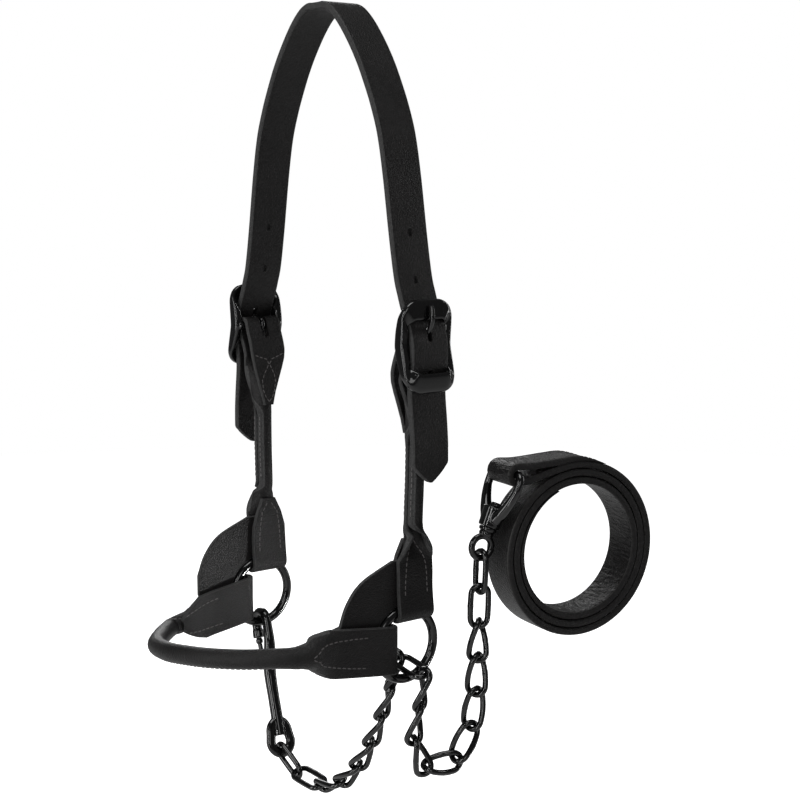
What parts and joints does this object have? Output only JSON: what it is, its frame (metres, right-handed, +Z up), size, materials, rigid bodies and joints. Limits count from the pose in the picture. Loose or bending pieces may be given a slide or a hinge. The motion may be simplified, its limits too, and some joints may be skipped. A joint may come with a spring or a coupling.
{
  "type": "show halter",
  "caption": "Leather show halter with rolled cheeks and noseband, buckled crown strap, side rings, a chain lead run through a ring under the chin, and a coiled leather lead strap.",
  "frame": {"origin": "middle of the crown strap's underside, where the halter hangs", "axes": "+Z up, +Y towards the far (right) side, -X towards the nose"},
  "size_m": [0.271, 0.2184, 0.479],
  "materials": {
    "black_leather": "waxed, fine grain",
    "cut_leather": "cut edge",
    "black_enamel": "gloss black"
  },
  "bodies": {
    "headstall": {"crown_strap": "black_leather", "near_buckle_frame": "black_enamel", "far_buckle_frame": "black_enamel", "near_cheek": "black_leather", "far_cheek": "black_leather", "near_cheek_core": "cut_leather", "far_cheek_core": "cut_leather", "noseband": "black_leather", "noseband_core": "cut_leather", "near_gusset": "black_leather", "far_gusset": "black_leather"},
    "near_ring": {"near_ring": "black_enamel"},
    "far_ring": {"far_ring": "black_enamel"},
    "near_tongue": {"near_buckle_tongue": "black_enamel"},
    "far_tongue": {"far_buckle_tongue": "black_enamel"},
    "snap": {"snap_body": "black_enamel"},
    "gate": {"snap_gate": "black_enamel"},
    "chin_link_1": {"chin_link_1": "black_enamel"},
    "chin_link_2": {"chin_link_2": "black_enamel"},
    "chin_link_3": {"chin_link_3": "black_enamel"},
    "chin_link_4": {"chin_link_4": "black_enamel"},
    "chin_link_5": {"chin_link_5": "black_enamel"},
    "chin_link_6": {"chin_link_6": "black_enamel"},
    "chin_link_7": {"chin_link_7": "black_enamel"},
    "chin_link_8": {"chin_link_8": "black_enamel"},
    "saddle_link": {"saddle_link": "black_enamel"},
    "lead_link_1": {"lead_link_1": "black_enamel"},
    "lead_link_2": {"lead_link_2": "black_enamel"},
    "lead_link_3": {"lead_link_3": "black_enamel"},
    "lead_link_4": {"lead_link_4": "black_enamel"},
    "lead_link_5": {"lead_link_5": "black_enamel"},
    "lead_link_6": {"lead_link_6": "black_enamel"},
    "lead_link_7": {"lead_link_7": "black_enamel"},
    "lead_link_8": {"lead_link_8": "black_enamel"},
    "lead_link_9": {"lead_link_9": "black_enamel"},
    "lead_link_10": {"lead_link_10": "black_enamel"},
    "lead_strap": {"lead_strap": "black_leather"},
    "dee": {"swivel_dee": "black_enamel"},
    "swivel": {"swivel_eye": "black_enamel"}
  },
  "joints": [
    {"name": "near_ring_turn", "type": "hinge", "parent": "headstall", "child": "near_ring", "pos_m": [-0.005, -0.0755, -0.3605], "axis": [0, 1, 0], "continuous": true},
    {"name": "near_tongue_hinge", "type": "hinge", "parent": "headstall", "child": "near_tongue", "pos_m": [0, -0.0815, -0.1885], "axis": [1, 0, 0], "range_deg": [0, 25]},
    {"name": "far_ring_turn", "type": "hinge", "parent": "headstall", "child": "far_ring", "pos_m": [-0.005, 0.0755, -0.3605], "axis": [0, 1, 0], "continuous": true},
    {"name": "far_tongue_hinge", "type": "hinge", "parent": "headstall", "child": "far_tongue", "pos_m": [0, 0.0815, -0.1885], "axis": [-1, 0, 0], "range_deg": [0, 25]},
    {"name": "chin_swing", "type": "hinge", "parent": "headstall", "child": "snap", "pos_m": [-0.005, 0.0755, -0.38075], "axis": [0.0186, -0.9978, 0.0629], "range_deg": [-9, 10]},
    {"name": "gate_spring", "type": "hinge", "parent": "snap", "child": "gate", "pos_m": [-0.00691, 0.06625, -0.41144], "axis": [0.9982, -0.0218, -0.0556], "range_deg": [0, 15], "stiffness_Nm_per_rad": 0.05, "springref_deg": -17.19},
    {"name": "chin_link_1_roll", "type": "hinge", "parent": "snap", "child": "chin_link_1", "pos_m": [-0.00952, 0.03811, -0.46273], "axis": [0.059, -0.851, -0.5218], "range_deg": [-8, 8]},
    {"name": "chin_link_2_roll", "type": "hinge", "parent": "snap", "child": "chin_link_2", "pos_m": [-0.00812, 0.0179, -0.46858], "axis": [0.0689, -0.9932, -0.0944], "range_deg": [-8, 8]},
    {"name": "chin_link_3_roll", "type": "hinge", "parent": "snap", "child": "chin_link_3", "pos_m": [-0.00668, -0.00291, -0.46625], "axis": [0.0637, -0.9191, 0.3889], "range_deg": [-8, 8]},
    {"name": "chin_link_4_roll", "type": "hinge", "parent": "snap", "child": "chin_link_4", "pos_m": [-0.00543, -0.02093, -0.45499], "axis": [0.0504, -0.7272, 0.6845], "range_deg": [-8, 8]},
    {"name": "chin_link_5_roll", "type": "hinge", "parent": "snap", "child": "chin_link_5", "pos_m": [-0.00446, -0.03491, -0.43872], "axis": [0.0392, -0.5648, 0.8243], "range_deg": [-8, 8]},
    {"name": "chin_link_6_roll", "type": "hinge", "parent": "snap", "child": "chin_link_6", "pos_m": [-0.00371, -0.04574, -0.42009], "axis": [0.0313, -0.451, 0.892], "range_deg": [-8, 8]},
    {"name": "chin_link_7_roll", "type": "hinge", "parent": "snap", "child": "chin_link_7", "pos_m": [-0.0031, -0.05445, -0.40036], "axis": [0.0258, -0.3718, 0.9279], "range_deg": [-8, 8]},
    {"name": "chin_link_8_roll", "type": "hinge", "parent": "snap", "child": "chin_link_8", "pos_m": [-0.0026, -0.06173, -0.38004], "axis": [0.0218, -0.3148, 0.9489], "range_deg": [-5, 8]},
    {"name": "saddle_link_roll", "type": "hinge", "parent": "headstall", "child": "saddle_link", "pos_m": [-0.0018, -0.0768, -0.37446], "axis": [0.0479, -0.9767, -0.2093], "range_deg": [-4, 4]},
    {"name": "lead_swing", "type": "hinge", "parent": "headstall", "child": "lead_link_4", "pos_m": [-0.00099, -0.08913, -0.37511], "axis": [0.5158, -0.0409, 0.8557], "range_deg": [-9, 10]},
    {"name": "lead_link_1_roll", "type": "hinge", "parent": "lead_link_4", "child": "lead_link_1", "pos_m": [-0.00216, -0.08778, -0.38521], "axis": [-0.1149, 0.144, -0.9829], "range_deg": [-7, 6]},
    {"name": "lead_link_2_roll", "type": "hinge", "parent": "lead_link_4", "child": "lead_link_2", "pos_m": [-0.00474, -0.08527, -0.40528], "axis": [-0.1416, 0.0958, -0.9853], "range_deg": [-8, 8]},
    {"name": "lead_link_3_roll", "type": "hinge", "parent": "lead_link_4", "child": "lead_link_3", "pos_m": [-0.00199, -0.0852, -0.42497], "axis": [0.3043, -0.0537, -0.9511], "range_deg": [-6, 8]},
    {"name": "lead_link_5_roll", "type": "hinge", "parent": "lead_link_4", "child": "lead_link_5", "pos_m": [0.02712, -0.09033, -0.42181], "axis": [0.5072, -0.0894, 0.8572], "range_deg": [-8, 8]},
    {"name": "lead_link_6_roll", "type": "hinge", "parent": "lead_link_4", "child": "lead_link_6", "pos_m": [0.03326, -0.09142, -0.40275], "axis": [0.1541, -0.0272, 0.9877], "range_deg": [-8, 8]},
    {"name": "lead_link_7_roll", "type": "hinge", "parent": "lead_link_4", "child": "lead_link_7", "pos_m": [0.03507, -0.09174, -0.38247], "axis": [0.0344, -0.0061, 0.9994], "range_deg": [-8, 8]},
    {"name": "lead_link_8_roll", "type": "hinge", "parent": "lead_link_4", "child": "lead_link_8", "pos_m": [0.03577, -0.09186, -0.36208], "axis": [0.0344, -0.0061, 0.9994], "range_deg": [-8, 8]},
    {"name": "lead_link_9_roll", "type": "hinge", "parent": "lead_link_4", "child": "lead_link_9", "pos_m": [0.03647, -0.09198, -0.34169], "axis": [0.0344, -0.0061, 0.9994], "range_deg": [-8, 8]},
    {"name": "lead_link_10_roll", "type": "hinge", "parent": "lead_link_4", "child": "lead_link_10", "pos_m": [0.03717, -0.09211, -0.32131], "axis": [0.0344, -0.0061, 0.9994], "range_deg": [-8, 8]},
    {"name": "lead_hold", "type": "slide", "parent": "headstall", "child": "lead_strap", "axis": [0.9123, -0.1609, -0.3767], "range_m": [0, 0.006]},
    {"name": "dee_hinge", "type": "hinge", "parent": "lead_strap", "child": "dee", "pos_m": [0.05453, -0.09517, -0.26461], "axis": [0.1736, 0.9848, 0], "range_deg": [0, 8]},
    {"name": "swivel_turn", "type": "hinge", "parent": "dee", "child": "swivel", "pos_m": [0.03759, -0.09218, -0.30691], "axis": [0.3709, -0.0654, 0.9263], "range_deg": [-15, 15]}
  ],
  "couplings": [
    {"joint": "dee_hinge", "follows": "lead_hold", "rad_per_m": 21.899}
  ]
}
